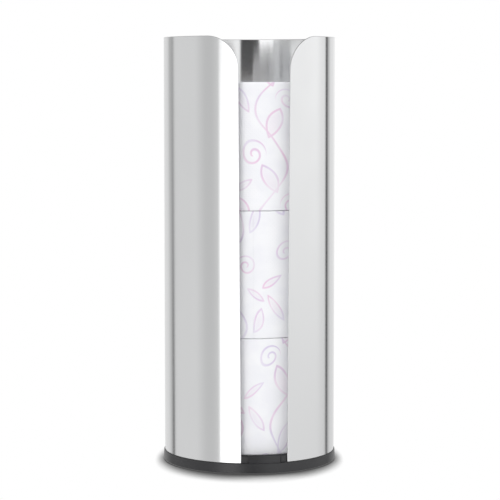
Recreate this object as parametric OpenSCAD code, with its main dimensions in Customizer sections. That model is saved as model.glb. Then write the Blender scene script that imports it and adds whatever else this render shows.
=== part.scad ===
// Free-standing holder for three spare toilet rolls: a bright steel sheet rolled
// into a tube that stays open down the front, standing on a moulded plastic base.
// Millimetres, +Z up, origin on the floor under the middle. The slot faces -Y.

/* [Rolls] */
// Diameter of a full roll
roll_d = 116; // [104:1:118]
// Height of a roll
roll_h = 95; // [90:1:105]
// Bore of the cardboard core
core_bore = 40; // [36:1:44]
// Wall of the cardboard core
core_wall = 0.9; // [0.6:0.1:1.5]
// Thickness of the loose tail at the end of the last sheet
tail_t = 0.5; // [0.3:0.1:1]
// Rounding of the soft outer edges of a roll
roll_edge = 0.9; // [0.5:0.1:2.5]

/* [Shell] */
// Outside diameter of the rolled tube
shell_d = 131; // [126:1:150]
// Thickness of the steel sheet
sheet_t = 0.8; // [0.6:0.1:1.2]
// Free height from the top roll to the rim
headroom = 34; // [30:0.2:60]

/* [Slot] */
// Width of the slot where the flare begins, along the sheet
slot_top_w = 39.4; // [34:0.2:44]
// Width of the slot at the lower edge, along the sheet
slot_foot_w = 35.4; // [33:0.2:40]
// Radius of the two big rounded corners, in the flat sheet
flare_r = 24.5; // [15:0.5:29]

/* [Base] */
// Height of the foot ring up to the ledge that carries the shell
foot_h = 8.2; // [7:0.1:14]
// How far the foot stands out past the shell
foot_lip = 1; // [0.5:0.1:2]
// Height of the raised wall inside the shell, above the ledge
spigot_rise = 6.2; // [4:0.2:12]
// Thickness of the raised wall
spigot_t = 2.2; // [1.6:0.1:3]
// Height of the tray floor that the rolls stand on
floor_z = 5.4; // [4.2:0.1:6]
// Thickness of the tray floor
floor_t = 2; // [1.6:0.1:3]
// Width of the key that fills the middle of the slot, along the shell
key_w = 25.6; // [16:0.2:30]

/* [Foot pads] */
// Diameter of an anti-slip pad
pad_d = 16; // [10:1:20]
// Thickness of an anti-slip pad
pad_t = 1.4; // [1:0.1:2]
// How far a pad stands below the foot ring
pad_proud = 0.4; // [0.2:0.1:1]
// Radius of the circle that the pads stand on
pad_circle_r = 50; // [40:1:52]

/* [Hidden] */
$fn = 96;

rolls = 3;
pads = 4;
// Air between a roll and what it stands on
stack_gap = 0.3;
// Air between the raised wall and the sheet, taken up by the crush ribs
fit_gap = 0.2;

shell_r = shell_d / 2;
shell_in_r = shell_r - sheet_t;
roll_r = roll_d / 2;
core_bore_r = core_bore / 2;
core_r = core_bore_r + core_wall;
stack_pitch = roll_h + stack_gap;
stack_top = floor_z + rolls * stack_pitch;
rim_z = stack_top + headroom;

spigot_r = shell_in_r - fit_gap;
tray_r = spigot_r - spigot_t;
spigot_top = foot_h + spigot_rise;
foot_r = shell_r + foot_lip;
foot_draft = 0.3;
foot_edge = 1.2;
skirt_t = 2.3;
floor_under = floor_z - floor_t;
lead_in = 0.7;
key_edge = 0.8;
key_root_r = tray_r + 1.5;

rib_t = 1.6;
rib_under = pad_proud + 0.5;
rib_ring_r = 30;
radial_ribs = 8;
crush_ribs = 12;
crush_rib_r = 0.8;
// Crush ribs keep out of this angle either side of the slot's middle
crush_clear = 30;
boss_wall = 1.5;
pocket_play = 0.1;

core_recess = 0.3;
// Where each roll's tail hangs, from +X towards +Y
tail_angles = [200, 35, 118];

// Points round an arc of radius r about [cx, cy], in n steps from a0 to a1
function arc(cx, cy, r, a0, a1, n) =
    [for (i = [0 : n]) let (a = a0 + (a1 - a0) * i / n) [cx + r * cos(a), cy + r * sin(a)]];

// A point of the flat sheet, bent onto the tube and seen from the front
function rolled(p) = [shell_r * sin(p[0] / shell_r * 180 / PI), p[1]];

// The angle that a width takes up round the outside of the shell
function wrap_angle(w) = w / shell_r * 180 / PI;

// One end of the flat sheet: a slightly slanted cut that turns out into the rim
function sheet_end() = concat(
    [[slot_foot_w / 2, foot_h - 1], [slot_foot_w / 2, foot_h]],
    arc(slot_top_w / 2 + flare_r, rim_z - flare_r, flare_r, 180, 90, 28),
    [[slot_top_w / 2 + flare_r, rim_z + 1]]);

module slot_cut() {
    side = [for (p = sheet_end()) rolled(p)];
    other_side = [for (i = [len(side) - 1 : -1 : 0]) [-side[i][0], side[i][1]]];
    rotate([90, 0, 0])
        linear_extrude(height = shell_r + 5)
            polygon(concat(side, other_side));
}

module shell() {
    color([0.80, 0.81, 0.82])
        difference() {
            translate([0, 0, foot_h])
                cylinder(r = shell_r, h = rim_z - foot_h);
            translate([0, 0, foot_h - 1])
                cylinder(r = shell_in_r, h = rim_z - foot_h + 2);
            slot_cut();
        }
}

// Half section of the moulding: floor, raised wall, ledge and drafted foot ring
module base_section() {
    skirt_top_r = foot_r - foot_draft;
    polygon(concat(
        [[0, floor_under], [foot_r - skirt_t, floor_under], [foot_r - skirt_t, pad_proud]],
        arc(foot_r - foot_edge, pad_proud + foot_edge, foot_edge, -90, 0, 6),
        arc(skirt_top_r - 0.5, foot_h - 0.5, 0.5, 0, 90, 4),
        [[spigot_r, foot_h], [spigot_r, spigot_top - 2 * lead_in], [spigot_r - lead_in, spigot_top]],
        arc(tray_r + 0.5, spigot_top - 0.5, 0.5, 90, 180, 4),
        arc(tray_r - 1, floor_z + 1, 1, 0, -90, 5),
        [[0, floor_z]]));
}

// Plan of the key about +X: a wedge with chamfered upright edges, drawn out past the shell
function key_plan() =
    let (half = wrap_angle(key_w) / 2,
        side = [cos(half), sin(half)],
        inward = [sin(half), -cos(half)],
        corner = (shell_r - key_edge) * side,
        outer = corner + (key_edge + 1) * (side + inward),
        upper = [key_root_r * side, corner, outer])
    concat(upper, [for (i = [2 : -1 : 0]) [upper[i][0], -upper[i][1]]]);

// The key stands in the lower end of the slot and keeps the shell from turning
module key() {
    rotate([0, 0, -90])
        intersection() {
            rotate_extrude()
                polygon([[tray_r + 1, foot_h - 1], [shell_r, foot_h - 1], [shell_r, spigot_top - lead_in],
                    [shell_r - lead_in, spigot_top], [tray_r + 1, spigot_top]]);
            translate([0, 0, foot_h - 2])
                linear_extrude(height = spigot_rise + 3)
                    polygon(key_plan());
        }
}

// Upright half-round ribs on the raised wall that the sheet is pushed over
module crush_rib_ring() {
    step = (360 - 2 * crush_clear) / (crush_ribs - 1);
    for (i = [0 : crush_ribs - 1])
        rotate([0, 0, -90 + crush_clear + i * step])
            translate([shell_in_r - crush_rib_r, 0, foot_h - 1])
                cylinder(r = crush_rib_r, h = spigot_rise - 1, $fn = 24);
}

// Ring and spokes that stiffen the floor from below
module under_ribs() {
    rib_h = floor_under - rib_under + 0.5;
    translate([0, 0, rib_under])
        difference() {
            cylinder(r = rib_ring_r + rib_t / 2, h = rib_h);
            translate([0, 0, -1])
                cylinder(r = rib_ring_r - rib_t / 2, h = rib_h + 2);
        }
    for (i = [0 : radial_ribs - 1])
        rotate([0, 0, i * 360 / radial_ribs])
            translate([rib_ring_r, -rib_t / 2, rib_under])
                cube([foot_r - skirt_t + 0.5 - rib_ring_r, rib_t, rib_h]);
}

// Puts its child where pad number i sits
module at_pad(i) {
    rotate([0, 0, 45 + (i - 1) * 360 / pads])
        translate([pad_circle_r, 0, 0])
            children();
}

module base() {
    color([0.16, 0.16, 0.17])
        difference() {
            union() {
                rotate_extrude()
                    base_section();
                key();
                crush_rib_ring();
                under_ribs();
                for (i = [1 : pads])
                    at_pad(i)
                        translate([0, 0, rib_under])
                            cylinder(r = pad_d / 2 + boss_wall, h = floor_under - rib_under + 0.5);
            }
            for (i = [1 : pads])
                at_pad(i)
                    translate([0, 0, rib_under - 1])
                        cylinder(r = pad_d / 2 + pocket_play, h = pad_t - rib_under + 1);
        }
}

// Pad number i, in its pocket
module foot_pad(i) {
    color([0.09, 0.09, 0.10])
        at_pad(i)
            rotate_extrude()
                polygon([[0, 0], [pad_d / 2 - 0.3, 0], [pad_d / 2, 0.3], [pad_d / 2, pad_t], [0, pad_t]]);
}

// Half section of wound paper, whose outer wrap lies at radius r
module paper_section(r) {
    polygon(concat(
        [[core_r - tail_t, 0]],
        arc(r - roll_edge, roll_edge, roll_edge, -90, 0, 5),
        arc(r - roll_edge, roll_h - roll_edge, roll_edge, 0, 90, 5),
        [[core_r - tail_t, roll_h]]));
}

// Level of the underside of roll number i, counted from 0 at the bottom
function roll_z(i) = floor_z + stack_gap + i * stack_pitch;

// Wound paper of roll number i. Two half turns whose radii differ by half a tail
// make the wrap run out in one step, where the last sheet ends.
module paper(i) {
    color([0.95, 0.95, 0.97])
        translate([0, 0, roll_z(i)])
            rotate([0, 0, tail_angles[i]])
                difference() {
                    union() {
                        rotate([0, 0, 180])
                            rotate_extrude(angle = 180)
                                paper_section(roll_r);
                        translate([-tail_t / 2, 0, 0])
                            rotate_extrude(angle = 180)
                                paper_section(roll_r - tail_t / 2);
                    }
                    translate([0, 0, -1])
                        cylinder(r = core_r, h = roll_h + 2);
                }
}

module core(i) {
    color([0.72, 0.62, 0.50])
        translate([0, 0, roll_z(i) + core_recess])
            difference() {
                cylinder(r = core_r, h = roll_h - 2 * core_recess);
                translate([0, 0, -1])
                    cylinder(r = core_bore_r, h = roll_h + 2);
            }
}

shell();
base();
foot_pad(1);  // foot_pad_1
foot_pad(2);  // foot_pad_2
foot_pad(3);  // foot_pad_3
foot_pad(4);  // foot_pad_4
paper(0);  // bottom_paper
paper(1);  // middle_paper
paper(2);  // top_paper
core(0);  // bottom_core
core(1);  // middle_core
core(2);  // top_core
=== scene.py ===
"""Toilet roll storage holder: rolled steel shell, wound rolls, finishes and studio."""

import math

import bpy
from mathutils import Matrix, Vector, noise


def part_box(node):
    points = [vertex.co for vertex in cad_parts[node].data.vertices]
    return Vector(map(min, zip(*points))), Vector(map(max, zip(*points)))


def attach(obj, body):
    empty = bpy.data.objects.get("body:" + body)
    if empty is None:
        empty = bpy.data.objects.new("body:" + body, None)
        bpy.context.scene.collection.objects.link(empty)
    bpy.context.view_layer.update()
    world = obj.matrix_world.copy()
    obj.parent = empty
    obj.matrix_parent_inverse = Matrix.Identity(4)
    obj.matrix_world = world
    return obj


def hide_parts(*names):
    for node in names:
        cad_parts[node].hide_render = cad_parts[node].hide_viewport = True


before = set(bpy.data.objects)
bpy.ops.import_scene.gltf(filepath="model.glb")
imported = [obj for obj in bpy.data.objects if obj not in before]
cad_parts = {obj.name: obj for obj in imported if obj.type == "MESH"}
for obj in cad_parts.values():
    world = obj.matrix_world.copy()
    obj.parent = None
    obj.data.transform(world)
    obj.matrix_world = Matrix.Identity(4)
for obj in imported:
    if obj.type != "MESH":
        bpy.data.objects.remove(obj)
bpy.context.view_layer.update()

LEVELS = ("bottom", "middle", "top")
PADS = 4

# Camera, in metres and degrees, as fitted to both rims and the base
CAMERA_AZIMUTH = -10.2
CAMERA_DISTANCE = 1.4701
CAMERA_HEIGHT = 0.2886
CAMERA_DOWN = 4.912
CAMERA_YAW = -0.02
CAMERA_LENS = 137.63

# Shell, in metres: the steel sheet and the slot between its two ends
shell_low, shell_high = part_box("shell")
SHELL_R = shell_high.x
SHELL_FOOT = shell_low.z
RIM = shell_high.z
SHEET_T = 0.0008
SLOT_TOP = 0.0394
SLOT_FOOT = 0.0354
FLARE_R = 0.0245
EDGE_ROUND = 0.00035
WRAP = 2.0 * math.pi * SHELL_R

# How finely the mesh of the shell is divided
SIDE_ROWS = 40
CORNER_STEPS = 12
RIM_COLUMNS = 190
EDGE_STEPS = 3

# Rolls, in metres and degrees. TAIL_STEP is how far the wrap steps in where it ends, over
# TAIL_ROOT degrees, and TAIL_TURN how far the loose tail reaches round the roll.
TAIL_ANGLES = {"bottom": 200.0, "middle": 35.0, "top": 118.0}
TAIL_STEP = 0.0005
TAIL_ROOT = 2.0
TAIL_TURN = 22.0
TAIL_LIFT = 0.0012
TISSUE_T = 0.00025
ROLL_EDGE = 0.0006
CORE_WALL = 0.0009
CORE_LIP = 0.0003
CORE_CORNER = 0.00009

# How far the soft parts depart from their plain form, in metres
DENT = 0.00030
CRINKLE = 0.00008
END_DIP = 0.00012
CORE_WOBBLE = 0.00015

# What sets the rolls apart: where their noise starts, and how far the print moves on
SEED_STEP = 17.0
PRINT_STEP = (0.05, 0.131)

# How finely the meshes of the rolls are divided
ROLL_COLUMNS = 216
END_RINGS = 14
EDGE_RINGS = 4
WALL_RINGS = 34
BORE_RINGS = 6
TAIL_COLUMNS = 16
TAIL_ROWS = 118
CORE_COLUMNS = 96
CORE_RINGS = 18

# The studio round the object, as its polished steel mirrors it: tones at angles seen from
# above, 0 in front of the slot and positive towards +X. First what stands level with the
# eye, then what stands LOW_ANGLE degrees lower and has leant LEAN degrees further round.
DARK = 0.08
BRIGHT = 1.75
STUDIO_LEVEL = [
    (-180.0, 0.80), (-155.0, 0.76), (-149.0, 0.62), (-146.0, 0.48), (-135.0, 0.46), (-131.5, 0.68),
    (-128.0, 0.75), (-88.0, 0.75), (-72.0, 0.60), (-62.0, 0.60), (-53.0, 0.70), (-52.1, 0.70),
    (-50.5, BRIGHT), (-23.4, BRIGHT), (-22.2, DARK), (1.0, DARK), (3.0, 1.02), (40.0, 1.02),
    (45.5, 1.12), (92.0, 1.12), (104.0, 0.95), (112.0, 0.95), (115.1, DARK), (118.1, DARK),
    (123.0, 0.60), (125.0, 0.60), (130.0, 0.86), (142.0, 0.86), (148.0, 0.92), (180.0, 0.92),
]
STUDIO_LOW = [
    (-180.0, 0.80), (-155.0, 0.78), (-149.0, 0.70), (-145.5, 0.62), (-142.4, 0.42), (-139.2, 0.10),
    (-136.4, 0.06), (-134.4, 0.66), (-131.0, 0.74), (-88.0, 0.75), (-72.0, 0.62), (-62.0, 0.62),
    (-54.0, 0.70), (-53.1, 0.70), (-51.5, BRIGHT), (-21.6, BRIGHT), (-20.4, DARK), (1.0, DARK),
    (3.0, 1.02), (37.0, 1.02), (42.5, 0.72), (92.0, 0.72), (104.0, 0.68), (112.0, 0.68),
    (115.1, DARK), (118.1, DARK), (123.0, 0.60), (130.0, 0.72), (142.0, 0.74), (180.0, 0.85),
]
LOW_ANGLE = 11.0
LEAN = 3.0

# Above the eye the bright panel narrows until HIGH_ANGLE degrees up; the rest stays the same
HIGH_ANGLE = 2.5
STUDIO_HIGH = list(STUDIO_LEVEL)
STUDIO_HIGH[11:15] = [(-44.8, 0.70), (-43.1, BRIGHT), (-24.8, BRIGHT), (-23.6, DARK)]

# Where the dark ceiling begins and is full, as the height of a ray that is 1 long
CEILING = (0.25, 0.65)
CEILING_TONE = (0.22, 0.22, 0.22)

# Strength of the plain light that reaches what doesn't shine
PLAIN_LIGHT = 0.57


class Field:
    """A number that varies over a surface, so that node trees read as arithmetic."""

    def __init__(self, tree, socket):
        self.tree = tree
        self.socket = socket

    def math(self, operation, *others, clamp=False):
        node = self.tree.nodes.new("ShaderNodeMath")
        node.operation = operation
        node.use_clamp = clamp
        for slot, value in zip(node.inputs, (self, *others)):
            plug(self.tree, value, slot)
        return Field(self.tree, node.outputs[0])

    def __add__(self, other):
        return self.math("ADD", other)

    def __sub__(self, other):
        return self.math("SUBTRACT", other)

    def __mul__(self, other):
        return self.math("MULTIPLY", other)

    def __truediv__(self, other):
        return self.math("DIVIDE", other)

    def __pow__(self, other):
        return self.math("POWER", other)

    def __abs__(self):
        return self.math("ABSOLUTE")

    def smooth(self, low, high):
        """0 at low and 1 at high, with a soft run between them."""
        node = self.tree.nodes.new("ShaderNodeMapRange")
        node.interpolation_type = "SMOOTHSTEP"
        plug(self.tree, self, node.inputs["Value"])
        node.inputs["From Min"].default_value = low
        node.inputs["From Max"].default_value = high
        return Field(self.tree, node.outputs["Result"])


def plug(tree, value, slot):
    """Links a field to a slot, or sets the slot to a number."""
    if isinstance(value, Field):
        tree.links.new(value.socket, slot)
    else:
        slot.default_value = value


def new_node(tree, kind, **settings):
    node = tree.nodes.new(kind)
    for key, value in settings.items():
        setattr(node, key, value)
    return node


def largest(first, *others):
    for other in others:
        first = first.math("MAXIMUM", other)
    return first


def length(x, y):
    return (x * x + y * y).math("SQRT")


def coordinates(tree, kind="Object"):
    """The three coordinates of a point in metres or, in the world, of a ray's direction."""
    place = new_node(tree, "ShaderNodeTexCoord")
    split = new_node(tree, "ShaderNodeSeparateXYZ")
    tree.links.new(place.outputs[kind], split.inputs[0])
    return [Field(tree, out) for out in split.outputs]


def unrolled(tree):
    """Where a point lies on the flat tissue, in millimetres along and across the sheet."""
    place = new_node(tree, "ShaderNodeUVMap", uv_map="unrolled")
    split = new_node(tree, "ShaderNodeSeparateXYZ")
    tree.links.new(place.outputs[0], split.inputs[0])
    return [Field(tree, out) * 1000.0 for out in split.outputs[:2]]


def combine(tree, x, y, z=0.0):
    node = new_node(tree, "ShaderNodeCombineXYZ")
    for slot, value in zip(node.inputs, (x, y, z)):
        plug(tree, value, slot)
    return node.outputs[0]


def noise_field(tree, place, scale, detail, roughness=0.5):
    node = new_node(tree, "ShaderNodeTexNoise")
    tree.links.new(place, node.inputs["Vector"])
    node.inputs["Scale"].default_value = scale
    node.inputs["Detail"].default_value = detail
    node.inputs["Roughness"].default_value = roughness
    return Field(tree, node.outputs[0])


def mix_colour(tree, share, first, second):
    """second over first, by share. Colours are three numbers or a socket."""
    node = new_node(tree, "ShaderNodeMix", data_type="RGBA")
    plug(tree, share, node.inputs["Factor"])
    for name, colour in (("A", first), ("B", second)):
        if isinstance(colour, tuple):
            node.inputs[name].default_value = (*colour, 1.0)
        else:
            tree.links.new(colour, node.inputs[name])
    return node.outputs["Result"]


def bump(tree, height, distance, under=None):
    """Relief of a height from 0 to 1 that stands distance metres proud."""
    node = new_node(tree, "ShaderNodeBump")
    plug(tree, height, node.inputs["Height"])
    node.inputs["Distance"].default_value = distance
    if under is not None:
        tree.links.new(under, node.inputs["Normal"])
    return node.outputs[0]


def material(name, roughness=0.5, metallic=0.0, **more):
    """A new material with its tree and its Principled shader's inputs."""
    made = bpy.data.materials.new(name)
    made.use_nodes = True
    sockets = made.node_tree.nodes["Principled BSDF"].inputs
    sockets["Roughness"].default_value = roughness
    sockets["Metallic"].default_value = metallic
    for key, value in more.items():
        sockets[key.replace("_", " ")].default_value = value
    return made, made.node_tree, sockets


def polished_steel(name, roughness, tone, smudge):
    """Sheet steel, polished round the tube: mirrors are crisp across and drawn out upwards."""
    made, tree, sockets = material(name, metallic=1.0, Anisotropic=0.94, Anisotropic_Rotation=0.25)
    tangent = new_node(tree, "ShaderNodeTangent", direction_type="RADIAL", axis="Z")
    tree.links.new(tangent.outputs[0], sockets["Tangent"])
    x, y, z = coordinates(tree)
    sweep = y.math("ARCTAN2", x) * SHELL_R
    grain = noise_field(tree, combine(tree, sweep * 0.012, z * 2.2), scale=1500.0, detail=2.0)
    cloud = noise_field(tree, combine(tree, x, y, z * 0.6), scale=26.0, detail=4.0)
    dull = tuple(0.93 * level for level in tone)
    shade = mix_colour(tree, cloud.smooth(0.35, 0.75) * smudge, tone, dull)
    tree.links.new(shade, sockets["Base Color"])
    rough = cloud.smooth(0.3, 0.8) * (smudge * 0.2) + grain * 0.02 + (roughness - 0.01)
    plug(tree, rough, sockets["Roughness"])
    wave = noise_field(tree, combine(tree, x, y, z * 0.25), scale=14.0, detail=1.0)
    relief = bump(tree, wave, distance=0.00012)
    tree.links.new(bump(tree, grain, distance=0.0000012, under=relief), sockets["Normal"])
    return made


def cut_edge_steel():
    """Sheared and deburred ends of the sheet, with fine lines across the cut."""
    made, tree, sockets = material("steel_cut_edge", metallic=1.0)
    lines = noise_field(tree, combine(tree, *coordinates(tree)), scale=2600.0, detail=2.0)
    shade = mix_colour(tree, lines, (0.78, 0.78, 0.79), (0.88, 0.88, 0.89))
    tree.links.new(shade, sockets["Base Color"])
    plug(tree, lines * 0.16 + 0.28, sockets["Roughness"])
    tree.links.new(bump(tree, lines, distance=0.00002), sockets["Normal"])
    return made


def moulded_plastic():
    """Satin moulding with a fine spark-eroded texture."""
    made, tree, sockets = material("moulded_plastic")
    place = combine(tree, *coordinates(tree))
    grain = noise_field(tree, place, scale=3800.0, detail=2.0, roughness=0.6)
    flow = noise_field(tree, place, scale=45.0, detail=3.0)
    shade = mix_colour(tree, flow, (0.019, 0.019, 0.0205), (0.027, 0.027, 0.029))
    tree.links.new(shade, sockets["Base Color"])
    plug(tree, grain * 0.10 + flow * 0.06 + 0.25, sockets["Roughness"])
    tree.links.new(bump(tree, grain, distance=0.000012), sockets["Normal"])
    return made


def pad_rubber():
    """Foamed rubber with open pores."""
    made, tree, sockets = material("pad_rubber", Specular_IOR_Level=0.3)
    place = combine(tree, *coordinates(tree))
    pores = noise_field(tree, place, scale=2200.0, detail=3.0, roughness=0.7)
    shade = mix_colour(tree, pores, (0.018, 0.018, 0.019), (0.040, 0.040, 0.042))
    tree.links.new(shade, sockets["Base Color"])
    plug(tree, pores * 0.2 + 0.7, sockets["Roughness"])
    tree.links.new(bump(tree, pores, distance=0.00008), sockets["Normal"])
    return made


def leaf(x, y, at, turn, half_length, half_width):
    """Distance in millimetres from the outline of a pointed leaf, negative inside it."""
    c, s = math.cos(math.radians(turn)), math.sin(math.radians(turn))
    dx, dy = x - at[0], y - at[1]
    along = dx * c + dy * s
    across = abs(dy * c - dx * s)
    bow = (half_length**2 + half_width**2) / (2.0 * half_width)
    return length(along, across + (bow - half_width)) - bow


def curl(x, y, at, pitch, reach, turn):
    """Distance in millimetres from an open curl that winds out from a small eye."""
    eye, fade = 1.2, 2.0
    dx, dy = x - at[0], y - at[1]
    radius = length(dx, dy)
    wound = radius / pitch - dy.math("ARCTAN2", dx) / (2.0 * math.pi) + turn
    line = abs(wound.math("FRACT") - 0.5) * pitch
    outside = largest(radius - reach, radius * -1.0 + eye, 0.0)
    return line + outside * fade


def printed_vine(tree, along, across):
    """A faded scroll of waving stems, pointed leaves and curls: its lines and the leaves' fill.

    In millimetres. Every column has one stem, which is mirrored after each half repeat, and
    starts higher than the one before. Slow noise makes the whole wander."""
    column_w, column_rise, repeat = 58.0, 0.37, 78.0
    swing, slant, wander = 10.0, 0.86, 22.0
    drift = noise_field(tree, combine(tree, along, across), scale=0.016, detail=1.0) - 0.5
    lean = noise_field(tree, combine(tree, across, along, 7.0), scale=0.016, detail=1.0) - 0.5
    u = along + drift * wander
    v = across + lean * wander
    column = (u / column_w).math("FLOOR")
    x = u - (column + 0.5) * column_w
    y = v + column * (repeat * column_rise)
    half = (y / (repeat / 2.0)).math("FLOOR")
    side = (half / 2.0).math("FRACT") * 4.0 - 1.0
    x = x * side
    y = y - half * (repeat / 2.0)
    stem_at = (y * (2.0 * math.pi / repeat)).math("SINE") * swing
    stem = abs(x + stem_at) * slant
    leaves = [
        leaf(x, y, at=(2.5, 11.5), turn=62.0, half_length=12.0, half_width=4.6),
        leaf(x, y, at=(-20.0, 27.0), turn=118.0, half_length=9.5, half_width=3.4),
        leaf(x, y, at=(22.0, 7.0), turn=-35.0, half_length=7.5, half_width=2.6),
    ]
    inside = leaves[0]
    line = stem.math("MINIMUM", curl(x, y, at=(14.5, 29.5), pitch=5.2, reach=8.6, turn=0.2))
    for one in leaves:
        inside = inside.math("MINIMUM", one)
        line = line.math("MINIMUM", abs(one))
    return line.smooth(0.30, 1.10) * -1.0 + 1.0, (inside * -1.0).smooth(0.2, 2.2)


def tissue_wrap():
    """Outer wrap: embossed tissue with the faded print and a line of perforations.

    In millimetres; the dots and the cuts repeat by a number of radians for each."""
    sheet_length, dot_rate, cut_rate = 112.0, 2.1, 3.6
    made, tree, sockets = material("tissue_wrap", roughness=0.9, Specular_IOR_Level=0.25)
    along, across = unrolled(tree)
    flat = combine(tree, along, across)
    fibres = noise_field(tree, flat, scale=2.6, detail=4.0, roughness=0.65)
    cloud = noise_field(tree, flat, scale=0.07, detail=3.0)
    ink = noise_field(tree, flat, scale=0.045, detail=2.0)
    line, fill = printed_vine(tree, along, across)
    strength = largest(line * (ink.smooth(0.3, 0.7) * 0.36 + 0.20), fill * 0.10)
    paper = mix_colour(tree, cloud.smooth(0.3, 0.7), (0.87, 0.87, 0.90), (0.91, 0.91, 0.925))
    hue = noise_field(tree, combine(tree, along, across, 31.0), scale=0.03, detail=1.0)
    print_colour = mix_colour(tree, hue.smooth(0.38, 0.62), (0.74, 0.34, 0.60), (0.52, 0.40, 0.66))
    tree.links.new(mix_colour(tree, strength, paper, print_colour), sockets["Base Color"])
    dots = (along * dot_rate).math("SINE") * (across * dot_rate).math("SINE")
    emboss = dots.smooth(0.35, 0.9)
    sheet_end = abs((along / sheet_length).math("FRACT") - 0.5) * sheet_length
    dash = (across * cut_rate).math("SINE").smooth(-0.2, 0.2)
    perforation = sheet_end.smooth(0.15, 0.45) * -1.0 + 1.0
    dents = bump(tree, perforation * dash * -1.0, distance=0.00018)
    relief = bump(tree, emboss, distance=0.00006, under=dents)
    tree.links.new(bump(tree, fibres, distance=0.00007, under=relief), sockets["Normal"])
    return made


def tissue_ends():
    """Sawn ends of a roll: the wraps show as fine, uneven rings, ring_pitch millimetres apart, with
    painted shade in the dips between them.
    """
    ring_pitch = 0.75
    made, tree, sockets = material("tissue_ends", roughness=0.95, Specular_IOR_Level=0.2)
    x, y, z = coordinates(tree)
    radius = length(x, y) * 1000.0
    place = combine(tree, x, y, z)
    wander = noise_field(tree, place, scale=30.0, detail=3.0)
    fuzz = noise_field(tree, place, scale=1900.0, detail=3.0, roughness=0.7)
    rings = ((radius + wander * 3.0) * (2.0 * math.pi / ring_pitch)).math("SINE") * 0.5 + 0.5
    wide = noise_field(tree, combine(tree, radius, wander * 2.0), scale=0.7, detail=3.0)
    # Painted shade: the rings darken where their bump dips, between the wraps; the wide noise is
    # random tone
    light = rings * 0.4 + wide.smooth(0.3, 0.7) * 0.6
    shade = mix_colour(tree, light, (0.78, 0.78, 0.80), (0.90, 0.90, 0.92))
    tree.links.new(shade, sockets["Base Color"])
    relief = bump(tree, rings, distance=0.00012)
    tree.links.new(bump(tree, fuzz, distance=0.00015, under=relief), sockets["Normal"])
    return made


def core_board():
    """Grey-brown board, wound on the slant, with its fibres and a seam that climbs by pitch."""
    pitch = 0.064
    made, tree, sockets = material("core_board", roughness=0.85, Specular_IOR_Level=0.25)
    x, y, z = coordinates(tree)
    turn = y.math("ARCTAN2", x) / (2.0 * math.pi)
    slant = (z / pitch - turn).math("FRACT")
    seam = abs(slant - 0.5).smooth(0.006, 0.014) * -1.0 + 1.0
    fibres = noise_field(tree, combine(tree, x, y, z * 3.0), scale=700.0, detail=4.0, roughness=0.7)
    patches = noise_field(tree, combine(tree, x, y, z), scale=60.0, detail=3.0)
    kraft = mix_colour(tree, fibres * 0.6 + patches * 0.4, (0.36, 0.27, 0.18), (0.60, 0.48, 0.34))
    tree.links.new(mix_colour(tree, seam * 0.6, kraft, (0.26, 0.19, 0.12)), sockets["Base Color"])
    relief = bump(tree, seam * -1.0, distance=0.0002)
    tree.links.new(bump(tree, fibres, distance=0.00006, under=relief), sockets["Normal"])
    return made


def make_piece(name, points, faces, materials, face_slots=None):
    """A smooth-shaded mesh in the scene. face_slots gives each face its place in materials."""
    mesh = bpy.data.meshes.new(name)
    mesh.from_pydata(points, [], faces)
    for one in materials:
        mesh.materials.append(one)
    mesh.polygons.foreach_set("use_smooth", [True] * len(faces))
    if face_slots:
        mesh.polygons.foreach_set("material_index", face_slots)
    piece = bpy.data.objects.new(name, mesh)
    bpy.context.scene.collection.objects.link(piece)
    return piece


def corner_point(turn, inset):
    """A point of the sheet's rounded corner, turn degrees on from the slot's side."""
    r = FLARE_R - inset
    a = math.radians(turn)
    return (SLOT_TOP / 2.0 + FLARE_R - r * math.cos(a), RIM - FLARE_R + r * math.sin(a))


def sheet_side(inset):
    """One end of the flat sheet, from its foot to half way round the corner."""
    bend = RIM - FLARE_R
    points = []
    for i in range(SIDE_ROWS + 1):
        z = SHELL_FOOT + inset + (bend - SHELL_FOOT - inset) * i / SIDE_ROWS
        widening = (z - SHELL_FOOT) / (bend - SHELL_FOOT)
        points.append((SLOT_FOOT / 2.0 + (SLOT_TOP - SLOT_FOOT) / 2.0 * widening + inset, z))
    return points + [corner_point(45.0 * i / CORNER_STEPS, inset) for i in range(1, CORNER_STEPS + 1)]


def sheet_top(inset):
    """The upper edge of the flat sheet, from half way round one corner to the other."""
    corner = [corner_point(45.0 + 45.0 * i / CORNER_STEPS, inset) for i in range(CORNER_STEPS + 1)]
    start = corner[-1][0]
    step = (WRAP - 2.0 * start) / RIM_COLUMNS
    rim = [(start + step * i, RIM - inset) for i in range(1, RIM_COLUMNS)]
    return corner + rim + [(WRAP - s, z) for s, z in reversed(corner)]


def sheet_bottom(inset):
    """The lower edge. Its points lie under those of the upper edge, but near the slot, over a
    stretch of blend metres, they are drawn in to the slot's width at the foot."""
    blend = 0.07
    top = sheet_top(inset)
    start = top[0][0]
    shift = SLOT_FOOT / 2.0 + inset - start
    half = []
    for s, _ in top[: len(top) // 2 + 1]:
        near = max(0.0, 1.0 - (s - start) / blend)
        half.append((s + shift * near * near, SHELL_FOOT + inset))
    other = [(WRAP - s, z) for s, z in reversed(half[: len(top) - len(half)])]
    return half + other


def sheet_grid(inset):
    """Rows of points that fill the flat sheet inside its edge."""
    side, top, bottom = sheet_side(inset), sheet_top(inset), sheet_bottom(inset)
    last = len(top) - 1
    rows = []
    for s_side, z_side in side:
        up = (z_side - side[0][1]) / (side[-1][1] - side[0][1])
        off = s_side - (bottom[0][0] * (1.0 - up) + top[0][0] * up)
        row = []
        for j, ((s0, z0), (s1, z1)) in enumerate(zip(bottom, top)):
            s = s0 * (1.0 - up) + s1 * up + off * (1.0 - 2.0 * j / last)
            row.append((s, z0 * (1.0 - up) + z1 * up))
        rows.append(row)
    return rows


def loop_of(rows):
    """The border of a grid, once round, from its first corner along the first row."""
    far_side = [row[-1] for row in rows[1:-1]]
    near_side = [row[0] for row in reversed(rows[1:-1])]
    return list(rows[0]) + far_side + list(reversed(rows[-1])) + near_side


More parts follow.
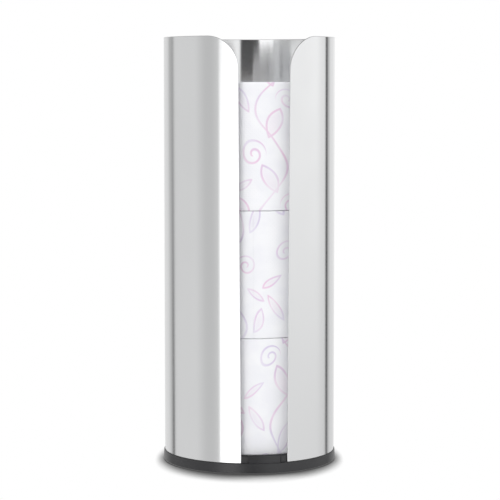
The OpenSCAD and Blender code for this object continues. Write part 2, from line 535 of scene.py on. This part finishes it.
def edge_section():
    """The sheet's rounded edge from the outside in: (reach, depth, radial share of the normal)."""
    quarter = [math.radians(90.0 * step / EDGE_STEPS) for step in range(1, EDGE_STEPS + 1)]
    outer = [(math.sin(a), EDGE_ROUND * (1.0 - math.cos(a)), math.cos(a)) for a in quarter]
    inner = [(reach, SHEET_T - depth, -radial) for reach, depth, radial in reversed(outer)]
    return outer + inner


def make_shell():
    """The shell, bent up from the flat sheet, with rounded edges and true round normals."""
    points, normals, faces, slots = [], [], [], []
    outside, inside, cut_edge = range(3)

    def add(s, z, depth, outward, radial):
        """Bends a point of the sheet onto the tube, with its normal, and returns its number."""
        turn = s / SHELL_R
        r = SHELL_R - depth
        points.append((r * math.sin(turn), -r * math.cos(turn), z))
        out = Vector((math.sin(turn), -math.cos(turn), 0.0))
        along = Vector((math.cos(turn), math.sin(turn), 0.0))
        edge = along * outward[0] + Vector((0.0, 0.0, outward[1]))
        normals.append((out * radial + edge).normalized())
        return len(points) - 1

    flat = sheet_grid(EDGE_ROUND)
    outer = [[add(s, z, 0.0, (0.0, 0.0), 1.0) for s, z in row] for row in flat]
    inner = [[add(s, z, SHEET_T, (0.0, 0.0), -1.0) for s, z in row] for row in flat]
    count = len(outer[0]) - 1
    for i in range(len(outer) - 1):
        for j in range(count):
            a, b = outer[i], outer[i + 1]
            faces.append((a[j], a[j + 1], b[j + 1], b[j]))
            slots.append(outside)
            a, b = inner[i], inner[i + 1]
            faces.append((a[j], b[j], b[j + 1], a[j + 1]))
            slots.append(inside)
    border, start = loop_of(sheet_grid(0.0)), loop_of(flat)
    outward = [Vector((b[0] - f[0], b[1] - f[1])).normalized() for b, f in zip(border, start)]
    loops = [loop_of(outer)]
    for reach, depth, radial in edge_section():
        ring = []
        for b, f, n in zip(border, start, outward):
            s = f[0] + (b[0] - f[0]) * reach
            z = f[1] + (b[1] - f[1]) * reach
            ring.append(add(s, z, depth, n * reach, radial))
        loops.append(ring)
    loops.append(loop_of(inner))
    for first, second in zip(loops, loops[1:]):
        for k in range(len(first)):
            m = (k + 1) % len(first)
            faces.append((first[k], second[k], second[m], first[m]))
            slots.append(cut_edge)
    steels = [
        polished_steel("steel_outside", roughness=0.17, tone=(0.82, 0.825, 0.83), smudge=0.15),
        polished_steel("steel_inside", roughness=0.105, tone=(0.835, 0.84, 0.845), smudge=0.2),
        cut_edge_steel(),
    ]
    piece = make_piece("steel_shell", points, faces, steels, slots)
    piece.data.normals_split_custom_set_from_vertices(normals)
    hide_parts("shell")
    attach(piece, "holder")


def ripple(turn, height, seed, round_rate, up_rate):
    """Smooth noise on the side of a roll, from -1 to 1."""
    a = math.radians(turn)
    x, y = round_rate * math.cos(a), round_rate * math.sin(a)
    return noise.noise(Vector((x, y, height * up_rate + seed)))


def wrap_radius(roll_r, turn, height, seed):
    """Radius of the wound tissue: a spiral that runs out under the tail, and soft dents."""
    tail = 360.0 - TAIL_TURN
    radius = roll_r - TAIL_STEP * max(0.0, 1.0 - turn / 180.0)
    if turn > tail:
        radius -= TAIL_STEP * min(1.0, (turn - tail) / TAIL_ROOT)
    dent = DENT * max(0.0, ripple(turn, height, seed, round_rate=2.2, up_rate=28.0))
    crinkle = CRINKLE * (1.0 + ripple(turn, height, seed, round_rate=9.0, up_rate=160.0))
    return radius - (dent + crinkle)


def core_radius(outside, turn, seed):
    """A core is never quite round."""
    return outside + CORE_WOBBLE * math.sin(math.radians(2.0 * turn) + seed)


def around(tail_angle, turn, radius, z):
    """A point of a roll, turn degrees on from the end of its wrap."""
    a = math.radians(tail_angle + turn)
    return (radius * math.cos(a), radius * math.sin(a), z)


def ring_grid(rows, columns):
    """Faces of a closed ring whose points lie row by row, each row once round."""
    faces = []
    for i in range(rows):
        for j in range(columns):
            k, m = (i + 1) % rows, (j + 1) % columns
            faces.append((i * columns + j, i * columns + m, k * columns + m, k * columns + j))
    return faces


def roll_profile(height):
    """Half section of the wound tissue: (share of the way out, inset, level, face)."""
    rows = []
    quarter = [math.radians(90.0 * i / EDGE_RINGS) for i in range(EDGE_RINGS + 1)]
    for i in range(END_RINGS):
        rows.append((i / END_RINGS, 0.0, 0.0, "under"))
    for a in quarter:
        rows.append((1.0, ROLL_EDGE * (1.0 - math.sin(a)), ROLL_EDGE * (1.0 - math.cos(a)), "edge"))
    for i in range(1, WALL_RINGS):
        rows.append((1.0, 0.0, ROLL_EDGE + (height - 2.0 * ROLL_EDGE) * i / WALL_RINGS, "wall"))
    for a in quarter:
        level = height - ROLL_EDGE * (1.0 - math.sin(a))
        rows.append((1.0, ROLL_EDGE * (1.0 - math.cos(a)), level, "edge"))
    for i in range(1, END_RINGS + 1):
        rows.append((1.0 - i / END_RINGS, 0.0, height, "top"))
    for i in range(1, BORE_RINGS):
        rows.append((0.0, 0.0, height * (1.0 - i / BORE_RINGS), "bore"))
    return rows


def make_roll(level, number, wrap, ends):
    """The wound tissue of one roll, and its loose tail."""
    low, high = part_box(f"{level}_paper")
    core_low, core_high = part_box(f"{level}_core")
    roll_r = (high.y - low.y) / 2.0
    core_r = (core_high.x - core_low.x) / 2.0
    height = high.z - low.z
    seed = SEED_STEP * (number + 1)
    rows = roll_profile(height)
    side, end = 0, 1
    points, slots = [], []
    for share, inset, rise, face in rows:
        for j in range(ROLL_COLUMNS):
            turn = 360.0 * j / ROLL_COLUMNS
            bore = core_radius(core_r, turn, seed)
            outside = wrap_radius(roll_r, turn, rise, seed)
            radius = bore + (outside - ROLL_EDGE - bore) * share
            if share == 1.0:
                radius = outside - inset
            z = low.z + rise
            if face in ("under", "top"):
                a = math.radians(turn)
                wave = noise.noise(Vector((share * 30.0 + seed, math.cos(a), math.sin(a))))
                dip = END_DIP * (1.0 + wave) * min(1.0, 6.0 * share, 6.0 * (1.0 - share))
                z += dip if face == "under" else -dip
            points.append(around(TAIL_ANGLES[level], turn, radius, z))
            slots.append(side if face in ("edge", "wall") else end)
    faces = ring_grid(len(rows), ROLL_COLUMNS)
    piece = make_piece(f"{level}_roll", points, faces, [wrap, ends], slots)
    unroll = piece.data.uv_layers.new(name="unrolled")
    for polygon in piece.data.polygons:
        wraps = polygon.index % ROLL_COLUMNS == ROLL_COLUMNS - 1
        for corner in polygon.loop_indices:
            vertex = piece.data.loops[corner].vertex_index
            column = vertex % ROLL_COLUMNS
            if wraps and column == 0:
                column = ROLL_COLUMNS
            along = roll_r * 2.0 * math.pi * column / ROLL_COLUMNS + PRINT_STEP[0] * number
            across = rows[vertex // ROLL_COLUMNS][2] + PRINT_STEP[1] * number
            unroll.data[corner].uv = (along, across)
    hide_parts(f"{level}_paper")
    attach(piece, f"{level}_roll")
    make_tail(level, number, wrap, low, roll_r, height)


def make_tail(level, number, wrap, low, roll_r, height):
    """The loose end of the last sheet: a thin flap that lifts off the wrap and ends in teeth."""
    start = 360.0 - TAIL_TURN - TAIL_ROOT
    margin, overhang, tooth = 0.0005, 1.6, 0.45
    root_depth, root_rise, root_turn = 0.0006, 0.0007, 4.0
    points, uvs = [], []
    for side in (0, 1):
        for i in range(TAIL_ROWS + 1):
            rise = margin + (height - 2.0 * margin) * i / TAIL_ROWS
            reach = TAIL_TURN + overhang + (tooth if i % 2 else 0.0)
            curl_up = 1.0 + 0.25 * math.sin(rise * 45.0 + number * 2.1)
            for j in range(TAIL_COLUMNS + 1):
                turn = start + reach * j / TAIL_COLUMNS
                free = max(0.0, (turn - start - TAIL_ROOT) / TAIL_TURN)
                radius = roll_r - root_depth + root_rise * min(1.0, (turn - start) / root_turn)
                radius += TAIL_LIFT * free * free * curl_up - side * TISSUE_T
                points.append(around(TAIL_ANGLES[level], turn, radius, low.z + rise))
                along = roll_r * math.radians(turn) + PRINT_STEP[0] * number
                uvs.append((along, rise + PRINT_STEP[1] * number))
    across = TAIL_COLUMNS + 1
    layer = (TAIL_ROWS + 1) * across
    faces = []
    for i in range(TAIL_ROWS):
        for j in range(TAIL_COLUMNS):
            a = i * across + j
            faces.append((a, a + 1, a + 1 + across, a + across))
            faces.append((a + layer, a + across + layer, a + 1 + across + layer, a + 1 + layer))
    for i in range(TAIL_ROWS):
        for j, flip in ((0, False), (TAIL_COLUMNS, True)):
            a, b = i * across + j, (i + 1) * across + j
            quad = (a, b, b + layer, a + layer)
            faces.append(tuple(reversed(quad)) if flip else quad)
    for j in range(TAIL_COLUMNS):
        for i, flip in ((0, True), (TAIL_ROWS, False)):
            a = i * across + j
            quad = (a, a + 1, a + 1 + layer, a + layer)
            faces.append(tuple(reversed(quad)) if flip else quad)
    piece = make_piece(f"{level}_roll_tail", points, faces, [wrap])
    unroll = piece.data.uv_layers.new(name="unrolled")
    for loop in piece.data.loops:
        unroll.data[loop.index].uv = uvs[loop.vertex_index]
    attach(piece, f"{level}_roll")


def make_core(level, number, board):
    """The core of one roll: a board tube, a little out of round, with rounded ends."""
    low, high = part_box(f"{level}_core")
    outside = (high.x - low.x) / 2.0
    height = high.z - low.z
    seed = SEED_STEP * (number + 1)
    wall = [CORE_LIP + (height - 2.0 * CORE_LIP) * i / CORE_RINGS for i in range(CORE_RINGS + 1)]
    lip = [
        (CORE_CORNER, CORE_CORNER),
        (CORE_LIP, 0.0),
        (CORE_WALL - CORE_LIP, 0.0),
        (CORE_WALL - CORE_CORNER, CORE_CORNER),
    ]
    profile = [(0.0, rise) for rise in wall]
    profile += [(depth, height - drop) for depth, drop in lip]
    profile += [(CORE_WALL, rise) for rise in reversed(wall)]
    profile += reversed(lip)
    points = []
    for depth, rise in profile:
        for j in range(CORE_COLUMNS):
            turn = 360.0 * j / CORE_COLUMNS
            radius = core_radius(outside, turn, seed) - depth
            points.append(around(TAIL_ANGLES[level], turn, radius, low.z + rise))
    faces = ring_grid(len(profile), CORE_COLUMNS)
    piece = make_piece(f"{level}_roll_core", points, faces, [board])
    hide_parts(f"{level}_core")
    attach(piece, f"{level}_roll")


def dress(node, finish):
    """Gives a CAD node, which keeps its own shape, its finish."""
    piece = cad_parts[node]
    piece.data.materials.clear()
    piece.data.materials.append(finish)


def studio_ramp(tree, turn, stops):
    """The studio's tones as a ramp over one turn."""
    node = new_node(tree, "ShaderNodeValToRGB")
    elements = node.color_ramp.elements
    for _ in stops[2:]:
        elements.new(0.5)
    for element, (angle, level) in zip(elements, stops):
        element.position = (angle + 180.0) / 360.0
        element.color = (level, level, level, 1.0)
    plug(tree, turn, node.inputs["Fac"])
    return node.outputs["Color"]


def make_world():
    """White to the camera, the studio's panels to what shines, and plain light to the rest."""
    world = bpy.data.worlds.new("studio")
    bpy.context.scene.world = world
    world.use_nodes = True
    tree = world.node_tree
    tree.nodes.clear()
    x, y, z = coordinates(tree, "Generated")
    fall = z.math("MULTIPLY", -1.0 / math.sin(math.radians(LOW_ANGLE)), clamp=True)
    rise = z.math("MULTIPLY", 1.0 / math.sin(math.radians(HIGH_ANGLE)), clamp=True)
    turn = x.math("ARCTAN2", y * -1.0) / (2.0 * math.pi) + 0.5 - fall * (LEAN / 360.0)
    level, low, high = [
        studio_ramp(tree, turn, stops) for stops in (STUDIO_LEVEL, STUDIO_LOW, STUDIO_HIGH)
    ]
    mirrored = mix_colour(tree, rise, mix_colour(tree, fall, level, low), high)
    mirrored = mix_colour(tree, z.smooth(*CEILING), mirrored, CEILING_TONE)
    studio, plain, white = [new_node(tree, "ShaderNodeBackground") for _ in range(3)]
    tree.links.new(mirrored, studio.inputs["Color"])
    plain.inputs["Color"].default_value = (0.97, 0.98, 1.0, 1.0)
    plain.inputs["Strength"].default_value = PLAIN_LIGHT
    white.inputs["Color"].default_value = (1.0, 1.0, 1.0, 1.0)
    path = new_node(tree, "ShaderNodeLightPath")
    shown = plain
    for ray, background in (("Is Glossy Ray", studio), ("Is Camera Ray", white)):
        choice = new_node(tree, "ShaderNodeMixShader")
        tree.links.new(path.outputs[ray], choice.inputs[0])
        tree.links.new(shown.outputs[0], choice.inputs[1])
        tree.links.new(background.outputs[0], choice.inputs[2])
        shown = choice
    out = new_node(tree, "ShaderNodeOutputWorld")
    tree.links.new(shown.outputs[0], out.inputs["Surface"])


def make_camera():
    """The photograph's view: the camera looks at the object's axis, a little down."""
    data = bpy.data.cameras.new("camera")
    data.lens = CAMERA_LENS
    data.sensor_width = 36.0
    camera = bpy.data.objects.new("camera", data)
    bpy.context.scene.collection.objects.link(camera)
    turn = math.radians(CAMERA_AZIMUTH)
    camera.location = (
        CAMERA_DISTANCE * math.sin(turn),
        -CAMERA_DISTANCE * math.cos(turn),
        CAMERA_HEIGHT,
    )
    camera.rotation_euler = (
        math.radians(90.0 - CAMERA_DOWN),
        0.0,
        turn + math.radians(CAMERA_YAW),
    )
    bpy.context.scene.camera = camera


def area_light(name, place, aim, size, power, spread):
    """A lamp that mirrors don't show. The smaller its spread in degrees, the narrower its beam."""
    data = bpy.data.lights.new(name, "AREA")
    data.shape = "RECTANGLE"
    data.size, data.size_y = size
    data.energy = power
    data.spread = math.radians(spread)
    lamp = bpy.data.objects.new(name, data)
    lamp.location = place
    lamp.rotation_euler = (Vector(aim) - Vector(place)).to_track_quat("-Z", "Y").to_euler()
    lamp.visible_glossy = False
    bpy.context.scene.collection.objects.link(lamp)


def make_floor():
    """A white floor. The camera sees it as pure white emission with a painted soft shadow round the
    foot, made from ambient occlusion, longer and deeper to the front and back than at the sides."""
    half, darkest = 6.0, 0.075
    front_reach, side_reach = 0.033, 0.0072
    front_depth, side_depth = 4.9, 2.2
    corners = [(-half, -half, 0.0), (half, -half, 0.0), (half, half, 0.0), (-half, half, 0.0)]
    finish = bpy.data.materials.new("floor")
    finish.use_nodes = True
    tree = finish.node_tree
    tree.nodes.clear()
    x, y, _ = coordinates(tree)
    turn = math.radians(CAMERA_AZIMUTH)
    towards = x * math.sin(turn) - y * math.cos(turn)
    share = (towards * towards) / (x * x + y * y)
    # Painted shadow: ambient occlusion, raised to a power, sets the tone of the emission the camera
    # sees
    shade = new_node(tree, "ShaderNodeAmbientOcclusion", samples=16)
    plug(tree, share * (front_reach - side_reach) + side_reach, shade.inputs["Distance"])
    depth = share * (front_depth - side_depth) + side_depth
    tone = largest(Field(tree, shade.outputs["AO"]) ** depth, darkest)
    shown = new_node(tree, "ShaderNodeEmission")
    tree.links.new(combine(tree, tone, tone, tone), shown.inputs["Color"])
    lit = new_node(tree, "ShaderNodeBsdfDiffuse")
    lit.inputs["Color"].default_value = (0.75, 0.75, 0.75, 1.0)
    path = new_node(tree, "ShaderNodeLightPath")
    choice = new_node(tree, "ShaderNodeMixShader")
    tree.links.new(path.outputs["Is Camera Ray"], choice.inputs[0])
    tree.links.new(lit.outputs[0], choice.inputs[1])
    tree.links.new(shown.outputs[0], choice.inputs[2])
    out = new_node(tree, "ShaderNodeOutputMaterial")
    tree.links.new(choice.outputs[0], out.inputs["Surface"])
    floor = make_piece("floor", corners, [(0, 1, 2, 3)], [finish])
    floor.visible_glossy = False


make_camera()
make_shell()
wrap, ends, board = tissue_wrap(), tissue_ends(), core_board()
for number, level in enumerate(LEVELS):
    make_roll(level, number, wrap, ends)
    make_core(level, number, board)
dress("base", moulded_plastic())
rubber = pad_rubber()
for pad in range(1, PADS + 1):
    dress(f"foot_pad_{pad}", rubber)

make_world()
make_floor()
area_light(
    "front", place=(-0.95, -2.05, 0.45), aim=(0.0, 0.0, 0.24), size=(1.8, 0.9), power=4.1, spread=65.0
)
area_light(
    "top", place=(0.0, -0.2, 4.0), aim=(0.0, 0.0, 0.1), size=(2.4, 2.4), power=68.0, spread=180.0
)

bpy.context.scene.view_settings.view_transform = "Standard"
